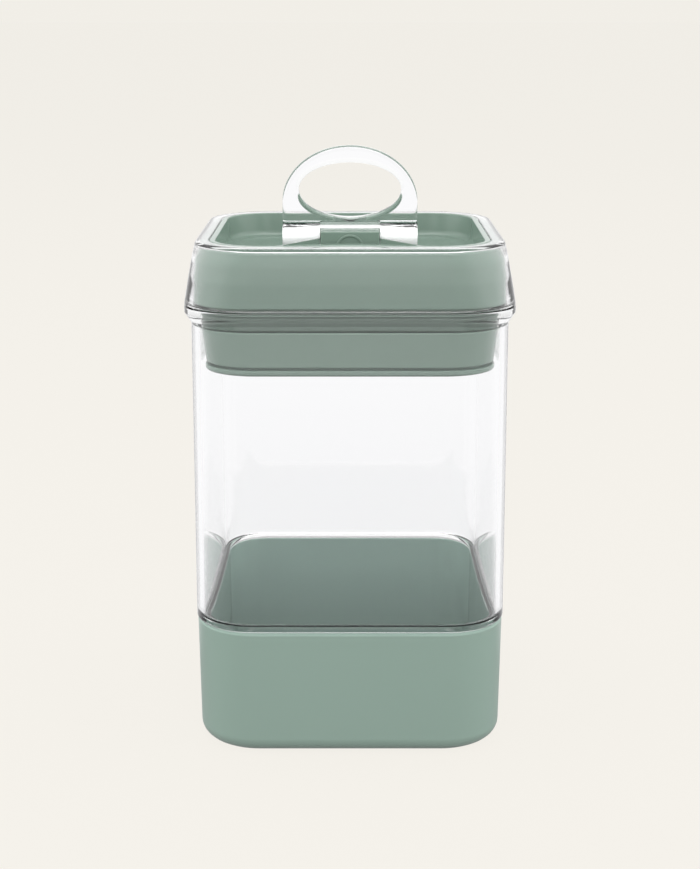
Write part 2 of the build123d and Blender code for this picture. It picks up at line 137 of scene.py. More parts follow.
def turned_steel(name, colour, roughness, lathe_mm):
    """Stainless steel fastener: metallic, with fine lathe rings that stretch its highlights."""
    tree, material = new_material(name)
    place = add(tree, "ShaderNodeTexCoord").outputs["Object"]
    rings = add(tree, "ShaderNodeTexWave", [(place, "Vector")], wave_type="RINGS",
                rings_direction="Z", scale=UNIT_WAVE / (lathe_mm * MM),
                distortion=RING_UNEVENNESS).outputs["Fac"]
    smear = add(tree, "ShaderNodeMapRange", [(rings, "Value")],
                to_min=roughness - RING_SMOOTHER, to_max=roughness + RING_ROUGHER)
    bump = add(tree, "ShaderNodeBump", [(rings, "Height")],
               strength=RING_STRENGTH, distance=RING_DEPTH_MM * MM)
    shader = add(tree, "ShaderNodeBsdfPrincipled",
                 [(smear.outputs["Result"], "Roughness"), (bump.outputs["Normal"], "Normal")],
                 base_color=linear(colour), metallic=1.0)
    add(tree, "ShaderNodeOutputMaterial", [(shader.outputs["BSDF"], "Surface")])
    return material


def clear_plastic(name, tint, scuff):
    """Polished clear plastic: nearly colourless, with a breath of handling haze; light passes."""
    tree, material = new_material(name)
    place = add(tree, "ShaderNodeTexCoord").outputs["Object"]
    haze = add(tree, "ShaderNodeTexNoise", [(place, "Vector")],
               scale=1 / (HAZE_MM * MM), detail=4.0).outputs["Fac"]
    rough = add(tree, "ShaderNodeMapRange", [(haze, "Value")],
                from_min=HAZE_LOW, from_max=HAZE_HIGH, to_min=0.0, to_max=scuff)
    shader = add(tree, "ShaderNodeBsdfPrincipled", [(rough.outputs["Result"], "Roughness")],
                 base_color=linear(tint), ior=CLEAR_IOR, transmission_weight=1.0)
    ray = add(tree, "ShaderNodeLightPath").outputs
    lit = add(tree, "ShaderNodeMath", [(ray["Is Shadow Ray"], 0), (ray["Is Diffuse Ray"], 1)],
              operation="MAXIMUM").outputs[0]
    passing = add(tree, "ShaderNodeBsdfTransparent", color=linear(CLEAR_PASSING))
    both = add(tree, "ShaderNodeMixShader",
               [(lit, 0), (shader.outputs[0], 1), (passing.outputs[0], 2)])
    add(tree, "ShaderNodeOutputMaterial", [(both.outputs[0], "Surface")])
    return material


# Satin moulded ABS: broad soft highlights over an even sage green.
boot_abs = moulded_plastic("moulded_sage_abs_satin", "#80948A", "#7D9187",
                           roughness=0.32, grain_mm=0.6, grain_depth_mm=0.0015)
# The same ABS from a more polished mould, with a tighter sheen; its deeper green is painted shade, a
# darker copy of the boot's green.
lid_abs_painted_shade = moulded_plastic("moulded_sage_abs_lid_painted_shade", "#6D7F74", "#6A7C71",
                          roughness=0.18, grain_mm=0.6, grain_depth_mm=0.001)
# Polished clear SAN: bright edges and sharp reflections.
clear_san = clear_plastic("polished_clear_san", "#FFFFFF", scuff=0.02)
# Moulded sage silicone, dull and without sharp highlights, darkened to the darkest green as painted
# shade under the lid.
gasket_silicone_painted_shade = moulded_plastic("moulded_silicone_green_painted_shade", "#57655C", "#526057",
                                  roughness=0.45, grain_mm=0.5, grain_depth_mm=0.002)
# Natural acetal: waxy white, with the mould's grain just visible.
white_acetal = moulded_plastic("natural_acetal", "#F4F4F2", "#F0F0EE",
                               roughness=0.35, grain_mm=0.4, grain_depth_mm=0.006)
# Turned stainless steel: pale grey metal with ringed highlights.
screw_steel = turned_steel("stainless_screw_steel", "#C4C3C0", roughness=0.24, lathe_mm=0.25)

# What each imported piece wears.
finishes = (
    (boot_abs, ("base_boot",)),
    (lid_abs_painted_shade, ("lid_frame", "lid_underplate", "seal_plate", "seal_plate_cover", "pivot_block",
               "front_apron")),
    (clear_san, ("clear_body", "lid_shell", "flip_handle")),
    (gasket_silicone_painted_shade, ("seal_gasket",)),
    (white_acetal, ("stem_guide", "draw_stem", "hinge_pin_left", "hinge_pin_right")),
    (screw_steel, ("stem_washer", "stem_screw")),
)
for material, wearers in finishes:
    for wearer in wearers:
        for slot in nodes[wearer].material_slots:
            slot.material = material


# Modelling helpers, in millimetres where no comment says otherwise

# Steps round each corner of a rounded square, and the height between its rings until they are joined.
CORNER_STEPS = 18
SPREAD = 6.0
# The most of each leg that the arc of a bend may take.
BEND_SHARE = 0.48
# Sides of a rod, sides of the circle that an arch starts as, and the length of a rod that cuts through.
ROD_SIDES = 96
ARCH_SIDES = 128
CUT_LENGTH = 60
# How near a drawn point has to be to the place that it is picked by.
NEAR = 0.01
# Points closer than this, in metres, are merged in a finished piece.
MERGE = 0.00001
# Angles in degrees, from which a piece's edges stay sharp to the eye, and from which soften rounds them.
SHELL_SMOOTH = 35
SOLID_SMOOTH = 40
SOFTEN_FROM = 50
# The weight of a large face in a finished piece's shading.
FACE_WEIGHT = 100
# Turns that stand a flat drawing up: to face the front, or to run from left to right.
FACING_FRONT = (QUARTER_TURN, 0, 0)
LEFT_TO_RIGHT = (QUARTER_TURN, 0, QUARTER_TURN)


def rounded(profile, steps, closed):
    """Turns (half width, height, corner, bend radius) rows into rings, with an arc at each bend."""
    rings = []
    count = len(profile)
    for i, (half, height, corner, radius) in enumerate(profile):
        here = (half, height, corner)
        if radius == 0 or (not closed and i in (0, count - 1)):
            rings.append(here)
            continue
        ends = (profile[i - 1], profile[(i + 1) % count])
        legs = [math.dist(end[:2], here[:2]) for end in ends]
        ways = [[(end[k] - here[k]) / leg for k in range(3)] for end, leg in zip(ends, legs)]
        cosine = ways[0][0] * ways[1][0] + ways[0][1] * ways[1][1]
        half_angle = math.acos(max(-1.0, min(1.0, cosine))) / 2
        reach = min(radius / math.tan(half_angle), BEND_SHARE * min(legs))
        weight = math.sin(half_angle)
        first, last = [[here[k] + way[k] * reach for k in range(3)] for way in ways]
        for step in range(steps + 1):
            s = step / steps
            a, b, c = (1 - s) ** 2, 2 * weight * s * (1 - s), s ** 2
            rings.append(tuple((a * p + b * q + c * r) / (a + b + c)
                               for p, q, r in zip(first, here, last)))
    return rings


def select_where(mesh, wanted):
    """Selects the points that pass a test, and the edges between them."""
    bpy.ops.mesh.select_all(action="DESELECT")
    sheet = bmesh.from_edit_mesh(mesh)
    for item in list(sheet.verts) + list(sheet.edges):
        if all(wanted(vert) for vert in getattr(item, "verts", (item,))):
            item.select_set(True)
    bmesh.update_edit_mesh(mesh)


def add_ring(half, corner, mark):
    """One rounded-square ring of edges, held apart from the others until its wall is bridged."""
    bpy.ops.mesh.primitive_plane_add(size=2 * half * MM, location=(0, 0, mark * SPREAD * MM))
    bpy.ops.object.mode_set(mode="EDIT")
    bpy.ops.mesh.bevel(offset=corner * MM, segments=CORNER_STEPS, affect="VERTICES")
    bpy.ops.mesh.select_all(action="SELECT")
    bpy.ops.mesh.delete(type="ONLY_FACE")
    bpy.ops.object.mode_set(mode="OBJECT")
    ring = bpy.context.object
    marks = ring.data.attributes.new("ring", "INT", "POINT").data
    marks.foreach_set("value", [mark] * len(ring.data.vertices))
    return ring


def select_rings(mesh, marks):
    """Selects the points and edges of the rings that carry these marks."""
    sheet = bmesh.from_edit_mesh(mesh)
    layer = sheet.verts.layers.int["ring"]
    select_where(mesh, lambda vert: vert[layer] in marks)


def finish_shape(name, smooth):
    """Finishes a piece: merged points, outward faces, applied place and smooth shading."""
    piece = bpy.context.object
    bpy.ops.object.mode_set(mode="EDIT")
    bpy.ops.mesh.select_all(action="SELECT")
    bpy.ops.mesh.remove_doubles(threshold=MERGE)
    bpy.ops.mesh.normals_make_consistent(inside=False)
    bpy.ops.object.mode_set(mode="OBJECT")
    bpy.ops.object.transform_apply(location=True, rotation=True, scale=True)
    bpy.ops.object.shade_smooth_by_angle(angle=math.radians(smooth))
    flat = piece.modifiers.new("flat_faces", "WEIGHTED_NORMAL")
    flat.keep_sharp = True
    flat.weight = FACE_WEIGHT
    bpy.ops.object.modifier_apply(modifier=flat.name)
    piece.name = name
    piece.data.name = name
    return piece


def square_shell(name, profile, steps, closed=False):
    """A wall through rounded-square rings: a closed hoop, or a solid with both end rings filled."""
    rings = rounded(profile, steps, closed)
    count = len(rings)
    bpy.ops.object.select_all(action="DESELECT")
    parts = [add_ring(half, corner, mark) for mark, (half, height, corner) in enumerate(rings)]
    for part in parts:
        part.select_set(True)
    bpy.context.view_layer.objects.active = parts[0]
    bpy.ops.object.join()
    mesh = bpy.context.object.data
    bpy.ops.object.mode_set(mode="EDIT")
    bpy.ops.mesh.select_mode(type="EDGE")
    for mark in range(count if closed else count - 1):
        select_rings(mesh, (mark, (mark + 1) % count))
        bpy.ops.mesh.bridge_edge_loops()
    if not closed:
        for mark in (0, count - 1):
            select_rings(mesh, (mark,))
            bpy.ops.mesh.edge_face_add()
    bpy.ops.mesh.select_mode(type="VERT")
    for mark, (half, height, corner) in enumerate(rings):
        select_rings(mesh, (mark,))
        bpy.ops.transform.translate(value=(0, 0, (height - mark * SPREAD) * MM))
    bpy.ops.object.mode_set(mode="OBJECT")
    mesh.attributes.remove(mesh.attributes["ring"])
    return finish_shape(name, SHELL_SMOOTH)


def start_circle(sides, radius):
    """Starts a flat drawing with a circle of a radius in metres, and gives its mesh."""
    bpy.ops.mesh.primitive_circle_add(vertices=sides, radius=radius, location=(0, 0, 0))
    bpy.ops.object.mode_set(mode="EDIT")
    bpy.ops.mesh.select_mode(type="VERT")
    return bpy.context.object.data


def select_points(mesh, wanted):
    """Selects the points of a flat drawing that pass a test of their place, and their edges."""
    select_where(mesh, lambda vert: wanted(*(vert.co / MM).xy))


def rub_out(mesh, unwanted):
    """Deletes the points of a flat drawing that pass a test of their place."""
    select_points(mesh, unwanted)
    bpy.ops.mesh.delete(type="VERT")


def draw_on(start, points):
    """Extrudes the selected end point of a line through more points."""
    here = start
    for point in points:
        step = [(b - a) * MM for a, b in zip(here, point)]
        bpy.ops.mesh.extrude_vertices_move(TRANSFORM_OT_translate={"value": step})
        here = point


def raise_slab(depth, turn, place):
    """Fills a flat drawing, raises it to a slab, and turns and places it with its faces outwards."""
    bpy.ops.mesh.select_all(action="SELECT")
    bpy.ops.mesh.edge_face_add()
    bpy.ops.mesh.select_all(action="SELECT")
    bpy.ops.mesh.extrude_region_move(TRANSFORM_OT_translate={"value": (0, 0, depth * MM)})
    bpy.ops.object.mode_set(mode="OBJECT")
    piece = bpy.context.object
    piece.rotation_euler = turn
    piece.location = [part * MM for part in place]
    bpy.ops.object.transform_apply(location=True, rotation=True, scale=True)
    bpy.ops.object.mode_set(mode="EDIT")
    bpy.ops.mesh.select_all(action="SELECT")
    bpy.ops.mesh.normals_make_consistent(inside=False)
    bpy.ops.object.mode_set(mode="OBJECT")
    return piece


def arch_slab(half, rise, leg, depth, back, spring):
    """Standing slab, from its back forward: legs, and an arch that starts at the height spring."""
    mesh = start_circle(ARCH_SIDES, 1)
    bpy.ops.transform.resize(value=(half * MM, rise * MM, 1))
    rub_out(mesh, lambda x, y: y < -NEAR)
    select_points(mesh, lambda x, y: abs(y) < NEAR)
    bpy.ops.mesh.extrude_region_move(TRANSFORM_OT_translate={"value": (0, -leg * MM, 0)})
    select_points(mesh, lambda x, y: y < NEAR - leg)
    bpy.ops.mesh.edge_face_add()
    return raise_slab(depth, FACING_FRONT, (0, back, spring))


def rod(long, tall, place, turn, length=CUT_LENGTH):
    """Round or oval rod that cuts a bore or a hole."""
    bpy.ops.mesh.primitive_cylinder_add(vertices=ROD_SIDES, radius=1, depth=1, rotation=turn,
                                        location=[part * MM for part in place])
    piece = bpy.context.object
    piece.scale = (long * MM, tall * MM, length * MM)
    return piece


def apply_all(piece):
    """Applies the piece's modifiers in order."""
    bpy.ops.object.select_all(action="DESELECT")
    piece.select_set(True)
    bpy.context.view_layer.objects.active = piece
    for modifier in list(piece.modifiers):
        bpy.ops.object.modifier_apply(modifier=modifier.name)


def soften(piece, width, segments):
    """Rounds a piece's sharp edges."""
    soft = piece.modifiers.new("soft_edges", "BEVEL")
    soft.width = width * MM
    soft.segments = segments
    soft.limit_method = "ANGLE"
    soft.angle_limit = math.radians(SOFTEN_FROM)
    soft.use_clamp_overlap = False
    apply_all(piece)


def shape_with(piece, other, operation="DIFFERENCE"):
    """Cuts a piece with another closed shape, or joins the two, and clears that shape away."""
    change = piece.modifiers.new("change", "BOOLEAN")
    change.operation = operation
    change.object = other
    change.solver = "EXACT"
    apply_all(piece)
    bpy.data.objects.remove(other)


def dress(piece, material, body, *stands_for):
    """Gives a finished piece its material, ties it to its body and hides the nodes it stands for."""
    piece.data.materials.clear()
    piece.data.materials.append(material)
    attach(piece, body)
    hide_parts(*stands_for)


# Square pieces, whose profiles are rows of half width, height, corner and bend radius in millimetres

# Boot: soft rounded bottom edge, fine rim, shallow standing recess underneath.
BOOT = (
    (18, 0.6, 4, 0),                # middle of the recess
    (39.0, 0.6, 10, 0.5),           # edge of the recess
    (40.2, 0.0, 11, 0.6),           # standing ring
    (51.3, 0.05, 20, 7.6),          # rounded bottom edge
    (51.9, 43.1, 20, 0.75),         # outer rim
    (49.7, 43.05, 17.8, 0.5),       # inner rim
    (49.1, 2.4, 17.8, 5.4),         # foot of the inner wall
    (18, 2.35, 4, 0),               # middle of the inner floor
)
boot = square_shell("boot_cup", BOOT, steps=7)
dress(boot, boot_abs, "canister", "base_boot")

# Jar: nested lower part, shoulder on the boot's rim, chamfered flange round the mouth.
JAR = (
    (18, 2.75, 4, 0),               # middle of the underside
    (48.8, 2.7, 17.5, 5.1),         # bottom edge, nested in the boot
    (49.4, 43.65, 17.5, 0.5),       # inner edge of the shoulder
    (52.2, 43.6, 20, 0.7),          # outer edge of the shoulder
    (51.95, 145.0, 20, 2.5),        # foot of the chamfer
    (54.0, 148.8, 20, 0.7),         # head of the chamfer
    (54.0, 151.0, 20, 0.5),         # outer edge of the mouth
    (49.45, 150.95, 17.5, 0.5),     # inner edge of the mouth
    (49.7, 45.35, 17.5, 1.2),       # inner shoulder, outer bend
    (47.5, 45.25, 15.6, 1.0),       # inner shoulder, inner bend
    (46.9, 5.0, 15.6, 3.2),         # foot of the inner wall
    (18, 4.95, 4, 0),               # middle of the inner floor
)
jar = square_shell("clear_jar", JAR, steps=6)
dress(jar, clear_san, "canister", "clear_body")

# Clear lid shell: leaning skirt and narrow top ring.
SHELL = (
    (54.0, 151.3, 20, 0.35),        # outer foot
    (52.7, 159.55, 20.8, 30),       # outer skirt
    (51.6, 166.0, 21.6, 20),        # outer skirt, leaning further
    (50.5, 171.3, 22.5, 1.1),       # outer edge of the top
    (46.2, 171.25, 18.2, 0.3),      # inner edge of the top
    (46.2, 169.85, 18.2, 0.2),      # under the top ring
    (49.3, 169.9, 21.3, 0.6),       # corner under the top ring
    (50.7, 166.0, 20.7, 14),        # inner skirt
    (51.4, 159.55, 19.5, 20),       # inner skirt, standing straighter
    (51.5, 151.35, 17.5, 0.25),     # inner foot
)
shell = square_shell("lid_clear_shell", SHELL, steps=5, closed=True)
dress(shell, clear_san, "lid", "lid_shell")

# Coloured lid frame: skirt inside the shell, raised inner rim, recess with rounded floor edge.
LID_FRAME = (
    (12, 163.0, 4, 0),              # middle of the deck
    (43.5, 163.05, 16.1, 2.2),      # rounded edge of the deck
    (44.1, 171.3, 16.1, 0.5),       # rim, inside
    (45.9, 171.25, 17.9, 0.4),      # rim, outside
    (45.9, 169.5, 17.9, 0.2),       # foot of the rim
    (49.0, 169.55, 21.0, 1.1),      # upper edge of the skirt
    (50.4, 166.0, 20.4, 12),        # outer skirt
    (51.1, 159.55, 19.2, 18),       # outer skirt, standing straighter
    (51.2, 151.6, 17.2, 1.2),       # outer foot
    (49.4, 151.55, 15.4, 0.4),      # inner foot
    (49.3, 159.55, 17.4, 10),       # inner skirt
    (48.6, 166.0, 18.6, 6),         # inner skirt, leaning further
    (47.6, 167.8, 19.5, 0.5),       # corner under the top
    (46.2, 167.75, 18.2, 0.3),      # under the rim
    (45.9, 160.9, 17.9, 0.5),       # edge of the deck's underside
    (12, 160.8, 4, 0),              # middle of the deck's underside
)
lid_tray = square_shell("lid_frame_tray", LID_FRAME, steps=5)
dress(lid_tray, lid_abs_painted_shade, "lid", "lid_frame")

# Seal plate: tapered inverted tray with a soft upper edge.
SEAL_PLATE = (
    (12, 144.4, 4, 0),              # middle of the top
    (48.75, 144.4, 16.8, 0.8),      # upper edge
    (47.55, 132.4, 16.8, 0.4),      # outer foot
    (45.75, 132.4, 15.0, 0.3),      # inner foot
    (46.75, 142.2, 15.0, 0.6),      # corner under the top
    (12, 142.2, 4, 0),              # middle of the underside
)
tray = square_shell("seal_plate_tray", SEAL_PLATE, steps=5)
dress(tray, lid_abs_painted_shade, "lifter", "seal_plate")

# Cover: flat lip below the seal plate, with a low wall that stands inside it.
SEAL_COVER = (
    (12, 129.6, 4, 0),              # middle of the underside
    (47.8, 129.6, 16.8, 0.95),      # lower edge of the lip
    (47.8, 131.6, 16.8, 0.4),       # upper edge of the lip
    (45.7, 131.6, 14.9, 0.2),       # wall, outer foot
    (45.7, 136.1, 14.9, 0.3),       # wall, outer edge
    (44.1, 136.1, 13.3, 0.3),       # wall, inner edge
    (44.1, 131.6, 13.3, 0.3),       # wall, inner foot
    (12, 131.6, 4, 0),              # middle of the top
)
cover = square_shell("seal_plate_lid", SEAL_COVER, steps=5)
dress(cover, lid_abs_painted_shade, "lifter", "seal_plate_cover")

# Gasket: silicone hoop with two soft lips on its outer face, given a mesh of its own; the real hoop
# flattens as the seal plate rises.
GASKET = (
    (48.0, 144.75, 16.1, 0.3),      # outer bottom edge
    (48.9, 145.6, 17, 0.4),         # lower lip
    (48.2, 147.1, 16.3, 0.5),       # groove between the lips
    (48.9, 148.6, 17, 0.4),         # upper lip
    (48.0, 149.45, 16.1, 0.3),      # outer top edge
    (44.4, 149.45, 12.5, 0.3),      # inner top edge
    (44.4, 144.75, 12.5, 0.3),      # inner bottom edge
)
gasket = square_shell("silicone_gasket", GASKET, steps=4, closed=True)
dress(gasket, gasket_silicone_painted_shade, "lid", "seal_gasket")
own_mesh(gasket)


# Ring handle, in millimetres

# Height of the pins' axis, and the radius of their bore.
PIN = 168.0
PIN_BORE = 3.55
# Plate: half its thickness and width, its foot and top, the height of its arch and its softness.
PLATE_HALF = 2.25
HANDLE_HALF = 23.1
PLATE_LOW = 165.6
HANDLE_TOP = 199.6
ARCH_RISE = 19.0
PLATE_SOFT = 1.7
PLATE_SOFT_STEPS = 8
# Oval finger hole: its middle, half width and half height.
HOLE_CENTRE = 184.6
HOLE_HALF = 17.5
HOLE_RISE = 9.2
# Barrel: radius in front of the pin, half its length and its softness.
BARREL = 5.2
BARREL_SIDES = 96
BARREL_END = 23.15
BARREL_SOFT = 0.9
BARREL_SOFT_STEPS = 5
# Its circle is kept in front of the plate, with this overlap.
BARREL_OVERLAP = 0.1
# Its crown lies inside the plate: half its width, its rise in front and its height behind.
CROWN_HALF = 1.5
CROWN_RISE = 0.3
CROWN_BACK = 6.1
# Shoulder behind the plate: the height where it starts, and how far it falls to the cam.
SHOULDER_TOP = 6.2
SHOULDER_FALL = 4.2
SHOULDER_STEPS = 12
# Cam: its height under the pin and its reach behind it.
CAM_LOW = 4.7
CAM_HIGH = 6.5
CAM_STEPS = 16
# The flat foot joins the low ends of the circle and the cam, which lie in this stretch and below
# this share of CAM_LOW.
FOOT_FRONT = -2.6
FOOT_BACK = 1.2
FOOT_SHARE = 0.98
# Notch between the cheeks: its middle, and its width, depth and height.
NOTCH_CENTRE = 163
NOTCH = (20.6, 30, 17.3)


def handle_plate():
    """Flat plate of the handle: an arch with an oval finger hole, softened all round."""
    spring = HANDLE_TOP - ARCH_RISE
    piece = arch_slab(HANDLE_HALF, ARCH_RISE, spring - PLATE_LOW, 2 * PLATE_HALF, PLATE_HALF, spring)
    shape_with(piece, rod(HOLE_HALF, HOLE_RISE, (0, 0, HOLE_CENTRE), FACING_FRONT))
    soften(piece, PLATE_SOFT, PLATE_SOFT_STEPS)
    return piece


def shoulder_line():
    """Soft line from behind the plate down to the back of the cam."""
    line = []
    for step in range(1, SHOULDER_STEPS + 1):
        swell = (1 - math.cos(math.pi * step / SHOULDER_STEPS)) / 2
        line.append((PLATE_HALF + (CAM_HIGH - PLATE_HALF) * swell,
                     SHOULDER_TOP - SHOULDER_FALL * step / SHOULDER_STEPS, 0))
    return line


def cam_line():
    """Cam from its back to its foot: the flat deck touches it at a height that grows evenly."""
    rate = (CAM_HIGH - CAM_LOW) / QUARTER_TURN
    line = []
    for step in range(CAM_STEPS, -1, -1):
        turn = QUARTER_TURN * step / CAM_STEPS
        reach = CAM_LOW + rate * turn
        line.append((reach * math.sin(turn) + rate * math.cos(turn),
                     -reach * math.cos(turn) + rate * math.sin(turn), 0))
    return line


def handle_barrel():
    """Barrel of the handle: round about the pin in front, cam behind, flat foot, softened ends."""
    mesh = start_circle(BARREL_SIDES, BARREL * MM)
    rub_out(mesh, lambda x, y: x > -PLATE_HALF + BARREL_OVERLAP or y < -CAM_LOW)
    sheet = bmesh.from_edit_mesh(mesh)
    top = max((vert.co / MM for vert in sheet.verts), key=lambda place: place.y)
    select_points(mesh, lambda x, y: y > top.y - NEAR)
    crown = [(-CROWN_HALF, top.y + CROWN_RISE, 0), (CROWN_HALF, CROWN_BACK, 0)]
    draw_on((top.x, top.y, 0), crown + shoulder_line() + cam_line())
    select_points(mesh, lambda x, y: FOOT_FRONT < x < FOOT_BACK and y < FOOT_SHARE * -CAM_LOW)
    bpy.ops.mesh.edge_face_add()
    piece = raise_slab(2 * BARREL_END, LEFT_TO_RIGHT, (-BARREL_END, 0, PIN))
    soften(piece, BARREL_SOFT, BARREL_SOFT_STEPS)
    return piece


def ring_handle():
    """Clear ring handle: plate and barrel joined, notched for the pivot block, bored for the pins."""
    bpy.ops.object.select_all(action="DESELECT")
    piece = handle_plate()
    shape_with(piece, handle_barrel(), "UNION")
    bpy.ops.mesh.primitive_cube_add(size=1, location=(0, 0, NOTCH_CENTRE * MM),
                                    scale=[side * MM for side in NOTCH])
    shape_with(piece, bpy.context.object)
    shape_with(piece, rod(PIN_BORE, PIN_BORE, (0, 0, PIN), (0, QUARTER_TURN, 0)))
    return finish_shape("ring_handle_clear", SOLID_SMOOTH)


handle = ring_handle()
dress(handle, clear_san, "handle", "flip_handle")


# Pivot block, in millimetres

# Half width, depth in front of the pin, foot and softness.
BLOCK_HALF = 10.0
BLOCK_FRONT = 10.0
BLOCK_LOW = 163.3
BLOCK_SOFT = 0.45
BLOCK_SOFT_STEPS = 4
# Knuckle round the pin, the bore of the pins' shanks, and the stem's hole with its depth.
KNUCKLE = 3.3
KNUCKLE_SIDES = 64
SHANK_BORE = 1.25
STEM_HOLE = 3.2
STEM_RISE = 3.0
# Arch line: outer radius, width, depth on the face and in it, middle, gap to the foot, softness.
ARCH_MARK = 4.95
ARCH_MARK_WIDTH = 0.9
ARCH_MARK_DEPTH = 0.5
ARCH_MARK_ROOT = 0.3
ARCH_MARK_CENTRE = 165.45
ARCH_MARK_GAP = 0.15
ARCH_MARK_SOFT = 0.32
ARCH_MARK_SOFT_STEPS = 4
# Slab that clears the inside of the arch line: its legs, its depth and where it starts in the block.
CLEARING_LEG = 4
CLEARING_DEPTH = 3
CLEARING_ROOT = 1


def arch_mark():
    """Raised half-round arch line for the front of the pivot block."""
    leg = ARCH_MARK_CENTRE - BLOCK_LOW - ARCH_MARK_GAP
    piece = arch_slab(ARCH_MARK, ARCH_MARK, leg, ARCH_MARK_DEPTH + ARCH_MARK_ROOT,
                      ARCH_MARK_ROOT - BLOCK_FRONT, ARCH_MARK_CENTRE)
    inside = ARCH_MARK - ARCH_MARK_WIDTH
    shape_with(piece, arch_slab(inside, inside, CLEARING_LEG, CLEARING_DEPTH,
                                CLEARING_ROOT - BLOCK_FRONT, ARCH_MARK_CENTRE))
    soften(piece, ARCH_MARK_SOFT, ARCH_MARK_SOFT_STEPS)
    return piece


def knuckle_block():
    """Pivot block: square in front, a knuckle round the pin behind, an arch line on its face."""
    bpy.ops.object.select_all(action="DESELECT")
    mesh = start_circle(KNUCKLE_SIDES, KNUCKLE * MM)
    rub_out(mesh, lambda x, y: x < -NEAR or y < -NEAR)
    select_points(mesh, lambda x, y: x < NEAR)
    foot = BLOCK_LOW - PIN
    draw_on((0, KNUCKLE, 0),
            [(-BLOCK_FRONT, KNUCKLE, 0), (-BLOCK_FRONT, foot, 0), (KNUCKLE, foot, 0)])
    piece = raise_slab(2 * BLOCK_HALF, LEFT_TO_RIGHT, (-BLOCK_HALF, 0, PIN))
    soften(piece, BLOCK_SOFT, BLOCK_SOFT_STEPS)
    shape_with(piece, arch_mark(), "UNION")
    shape_with(piece, rod(SHANK_BORE, SHANK_BORE, (0, 0, PIN), (0, QUARTER_TURN, 0)))
    shape_with(piece, rod(STEM_HOLE, STEM_HOLE, (0, 0, BLOCK_LOW), (0, 0, 0), 2 * STEM_RISE))
    return finish_shape("knuckle_block", SOLID_SMOOTH)


block = knuckle_block()
dress(block, lid_abs_painted_shade, "lifter", "pivot_block")


# Studio, in metres

# Cream that the camera sees round the canister, and its level in the world and on the floor.
BACKDROP = "#F4F1EA"
WORLD_LEVEL = 0.975
FLOOR_LEVEL = 0.953
# Fill light of the world: its colour, its level in front and behind, and where the one turns into
# the other, as the Y of the direction, which is -1 in front and 1 behind.
FILL = "#F8F9FB"
FILL_FRONT = 0.14
FILL_BACK = 0.85
FILL_FROM = -0.4
FILL_TO = 0.5
# The same for what gloss shows: dim in front keeps the green deep, and the rest is white.
GLOSS_FRONT = 0.2
GLOSS_BACK = 1.2
GLOSS_FROM = -0.95
GLOSS_TO = -0.3
WHITE = "#FFFFFF"
# Floor: its size, and how far it lies below the canister.
FLOOR_SIZE = 400
FLOOR_DROP = 0.0002
# Its colour for bounced light, the darker one that takes the shadow, and its white in clear plastic.
FLOOR_MATT = "#7C7A77"
FLOOR_SHADE = "#302E2D"
FLOOR_WHITE = "#FCFCFD"
# That white's level close to the canister and away from it, dimmer close to it as painted shade round
# the canister, with the distances from the middle, and the stretch of Y over which it rises to full
# white behind the canister.
NEAR_SHADE_LEVEL = 0.55
FAR_LEVEL = 0.88
NEAR_DISTANCE = 0.12
FAR_DISTANCE = 0.5
BEHIND_FROM = -0.02
BEHIND_TO = 0.05
# Softboxes: name, place, aim, size, power in watts, and whether gloss and clear walls show it.
SOFTBOXES = (
    ("left_softbox", (-1.7, -0.25, 0.5), (0, 0, 0.1), 1.9, 33.0, False),
    ("right_softbox", (1.7, -0.25, 0.5), (0, 0, 0.1), 1.9, 35.0, False),
    ("front_softbox", (0, -1.8, 0.95), (0, 0, 0.06), 1.6, 37.0, False),
    ("top_softbox", (0, 0.1, 1.8), (0, 0, 0.1), 1.6, 20.0, True),
)
# Camera, fitted to the outline of the canister: its place, its tilt below level in degrees, the
# height of its frame and its lens in millimetres, its shift as a share of the frame, and how near
# and far it sees.
CAMERA_PLACE = (0, -0.5434, 0.2409)
CAMERA_TILT = 13.14
FRAME_HEIGHT = 36.0
LENS = 65.6
LENS_SHIFT = -0.0512
CAMERA_NEAREST = 0.01
CAMERA_FARTHEST = 400.0


def studio_world():
    """White studio round the part; the camera itself sees the pale cream backdrop."""
    world = bpy.data.worlds.new("studio")
    bpy.context.scene.world = world
    world.use_nodes = True
    tree = world.node_tree
    tree.nodes.clear()
    ray = add(tree, "ShaderNodeLightPath").outputs
    way = add(tree, "ShaderNodeTexCoord").outputs["Generated"]
    depth = add(tree, "ShaderNodeSeparateXYZ", [(way, 0)]).outputs["Y"]
    level = add(tree, "ShaderNodeMapRange", [(depth, "Value")], interpolation_type="SMOOTHSTEP",
                from_min=FILL_FROM, from_max=FILL_TO, to_min=FILL_FRONT, to_max=FILL_BACK)
    fill = add(tree, "ShaderNodeBackground", [(level.outputs["Result"], "Strength")],
               color=linear(FILL))
    seen = add(tree, "ShaderNodeBackground", color=linear(BACKDROP), strength=WORLD_LEVEL)
    shine = add(tree, "ShaderNodeMapRange", [(depth, "Value")], interpolation_type="SMOOTHSTEP",
                from_min=GLOSS_FROM, from_max=GLOSS_TO, to_min=GLOSS_FRONT, to_max=GLOSS_BACK)
    white = add(tree, "ShaderNodeBackground", [(shine.outputs["Result"], "Strength")],
                color=linear(WHITE))
    through = add(tree, "ShaderNodeBackground", color=linear(WHITE), strength=1.0)
    gloss = add(tree, "ShaderNodeMixShader",
                [(ray["Is Glossy Ray"], 0), (fill.outputs[0], 1), (white.outputs[0], 2)])
    clear = add(tree, "ShaderNodeMixShader",
                [(ray["Is Transmission Ray"], 0), (gloss.outputs[0], 1), (through.outputs[0], 2)])
    last = add(tree, "ShaderNodeMixShader",
               [(ray["Is Camera Ray"], 0), (clear.outputs[0], 1), (seen.outputs[0], 2)])
    add(tree, "ShaderNodeOutputWorld", [(last.outputs[0], "Surface")])


